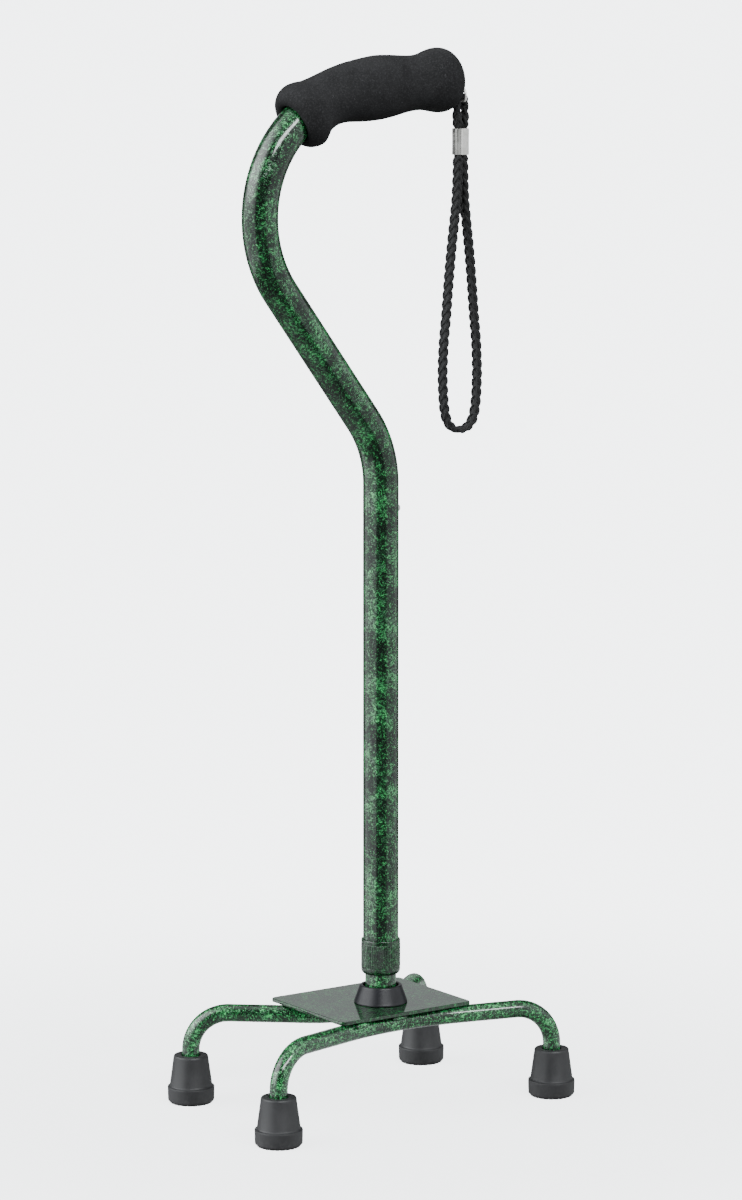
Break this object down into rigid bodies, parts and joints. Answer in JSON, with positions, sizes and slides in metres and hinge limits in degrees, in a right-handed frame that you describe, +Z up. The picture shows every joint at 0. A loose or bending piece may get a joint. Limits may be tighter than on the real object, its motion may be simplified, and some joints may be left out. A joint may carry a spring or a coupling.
{
  "type": "quad walking cane",
  "caption": "Swan-neck walking cane on a low four-legged base, with a foam grip, wrist strap, push-button height setting and a screw lock collar.",
  "frame": {"origin": "middle of the box round the base's four rubber tips, on the floor", "axes": "+Z up; +X the way the grip points, towards the strap; +Y towards the legs that splay furthest"},
  "size_m": [0.273, 0.168, 0.7585],
  "materials": {
    "green_crackle_paint": "glossy near-black paint crazed with bright green",
    "charcoal_foam": "matte closed-cell foam",
    "grey_rubber": "matte dark grey rubber",
    "black_plastic": "satin black moulded plastic",
    "white_nylon": "natural nylon",
    "zinc_steel": "bright zinc plate",
    "nickel": "nickel plate",
    "black_braid": "flat braided polyester cord"
  },
  "bodies": {
    "base": {"base_plate": "green_crackle_paint", "front_leg_tube": "green_crackle_paint", "rear_leg_tube": "green_crackle_paint", "front_weld_left": "green_crackle_paint", "front_weld_right": "green_crackle_paint", "rear_weld_left": "green_crackle_paint", "rear_weld_right": "green_crackle_paint", "base_bolt": "zinc_steel", "base_washer": "zinc_steel", "base_spigot": "zinc_steel", "base_socket": "black_plastic", "inner_tube": "green_crackle_paint", "tube_cap": "white_nylon", "button_spring": "zinc_steel", "tip_front_left": "grey_rubber", "tip_front_right": "grey_rubber", "tip_rear_left": "grey_rubber", "tip_rear_right": "grey_rubber", "tip_washer_front_left": "zinc_steel", "tip_washer_front_right": "zinc_steel", "tip_washer_rear_left": "zinc_steel", "tip_washer_rear_right": "zinc_steel"},
    "handle": {"handle_tube": "green_crackle_paint", "foam_grip": "charcoal_foam", "handle_end_plug": "white_nylon", "strap_eye": "nickel", "collet_ring": "white_nylon"},
    "collar": {"lock_collar": "green_crackle_paint"},
    "button": {"snap_button": "zinc_steel"},
    "ring": {"strap_ring": "nickel"},
    "strap": {"wrist_strap": "black_braid", "strap_ferrule": "nickel"}
  },
  "joints": [
    {"name": "height_slide", "type": "slide", "parent": "base", "child": "handle", "axis": [0, 0, 1], "range_m": [0, 0.2286]},
    {"name": "collar_turn", "type": "hinge", "parent": "handle", "child": "collar", "pos_m": [0.0025, -0.017, 0.11015], "axis": [0, 0, 1], "range_deg": [0, 180]},
    {"name": "button_press", "type": "slide", "parent": "base", "child": "button", "axis": [-1, 0, 0], "range_m": [0, 0.0052], "stiffness_N_per_m": 1500, "springref_m": -0.003, "deforming": ["button_spring"]},
    {"name": "ring_turn", "type": "hinge", "parent": "handle", "child": "ring", "pos_m": [0.0714, -0.017, 0.7247], "axis": [1, 0, 0], "range_deg": [-45, 45]},
    {"name": "strap_swing", "type": "hinge", "parent": "ring", "child": "strap", "pos_m": [0.0714, -0.017, 0.7206], "axis": [0, -1, 0], "range_deg": [-12, 90]}
  ]
}
